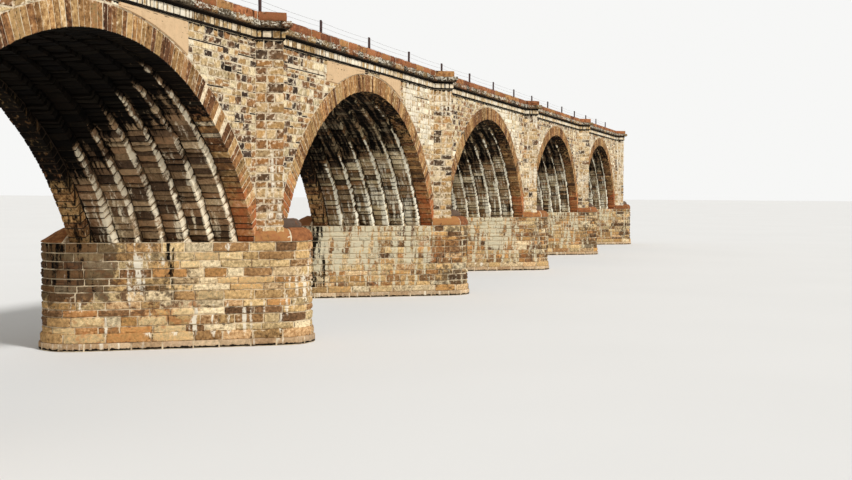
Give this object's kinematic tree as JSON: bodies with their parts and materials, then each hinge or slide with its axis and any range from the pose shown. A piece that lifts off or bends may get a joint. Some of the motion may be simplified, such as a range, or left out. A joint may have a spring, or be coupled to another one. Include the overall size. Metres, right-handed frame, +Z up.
{
  "type": "one-tenth scale model of a skewed stone arch viaduct",
  "caption": "Skewed stone arch viaduct as a 1:10 model: ribbed segmental arches on rounded cutwater piers, with band, cornice, parapet and wire railing.",
  "frame": {"origin": "middle of the plan, at the water level on which the pier footings stand", "axes": "+X along the deck, +Y from the front face to the back face, +Z up"},
  "size_m": [14.3474, 1.0646, 1.559],
  "materials": {
    "pier_stone": "rough coursed sandstone, buff to brown, pale lime mortar",
    "footing_stone": "pale washed sandstone",
    "cap_stone": "weathered red-brown sandstone, rounded",
    "ring_stone": "dressed sandstone arch stones, buff to red-brown",
    "barrel_stone": "sooty sandstone with pale lime runs",
    "wall_stone": "coursed sandstone rubble with thick pale joints",
    "rubble_core": "rough rubble",
    "gravel_bed": "loose broken stone",
    "band_stone": "pale dressed sandstone",
    "cornice_stone": "dark sandstone with lichen",
    "parapet_stone": "red-brown sandstone coping",
    "rail_iron": "rusty brown iron"
  },
  "bodies": {
    "root": {"pier_1": "pier_stone", "pier_2": "pier_stone", "pier_3": "pier_stone", "pier_4": "pier_stone", "pier_5": "pier_stone", "pier_6": "pier_stone", "pier_footings": "footing_stone", "pier_plinths": "pier_stone", "cutwater_caps_front": "cap_stone", "cutwater_caps_back": "cap_stone", "arch_ring_front_1": "ring_stone", "arch_ring_front_2": "ring_stone", "arch_ring_front_3": "ring_stone", "arch_ring_front_4": "ring_stone", "arch_ring_front_5": "ring_stone", "arch_barrel_1": "barrel_stone", "arch_barrel_2": "barrel_stone", "arch_barrel_3": "barrel_stone", "arch_barrel_4": "barrel_stone", "arch_barrel_5": "barrel_stone", "arch_ring_back_1": "ring_stone", "arch_ring_back_2": "ring_stone", "arch_ring_back_3": "ring_stone", "arch_ring_back_4": "ring_stone", "arch_ring_back_5": "ring_stone", "pilasters_front": "wall_stone", "pilasters_back": "wall_stone", "spandrel_front": "wall_stone", "spandrel_back": "wall_stone", "end_wall_left": "wall_stone", "end_wall_right": "wall_stone", "core_fill": "rubble_core", "track_bed": "gravel_bed", "band_front": "band_stone", "band_back": "band_stone", "cornice_front": "cornice_stone", "cornice_back": "cornice_stone", "parapet_front": "parapet_stone", "parapet_back": "parapet_stone", "railing_front": "rail_iron", "railing_back": "rail_iron"}
  },
  "joints": []
}
